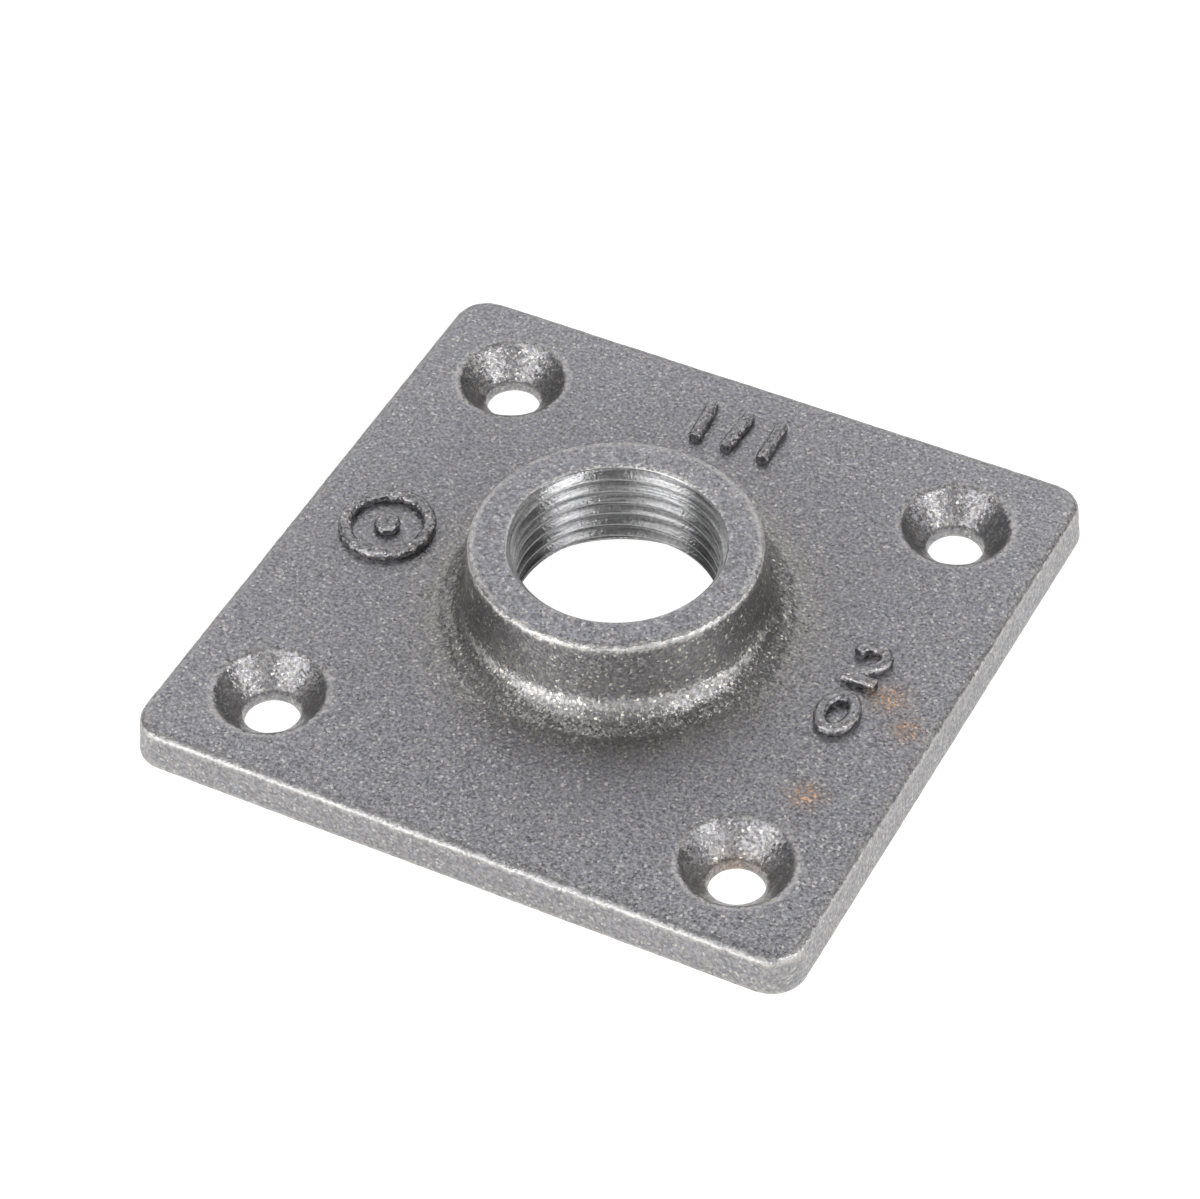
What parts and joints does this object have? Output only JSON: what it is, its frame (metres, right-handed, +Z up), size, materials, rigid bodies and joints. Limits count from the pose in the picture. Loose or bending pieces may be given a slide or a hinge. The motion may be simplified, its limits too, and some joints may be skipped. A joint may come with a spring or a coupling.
{
  "type": "threaded floor flange",
  "caption": "Square cast-iron floor flange with a central threaded hub for a pipe and countersunk screw holes at its corners.",
  "frame": {"origin": "centre of the bore in the plane of the underside", "axes": "+Z up the bore out of the hub; X and Y along the sides of the square plate"},
  "size_m": [0.0848, 0.0848, 0.0153],
  "materials": {
    "iron": "as-cast sandy skin, dull grey, with a bright turned bore"
  },
  "bodies": {
    "root": {"floor_flange": "iron"}
  },
  "joints": []
}
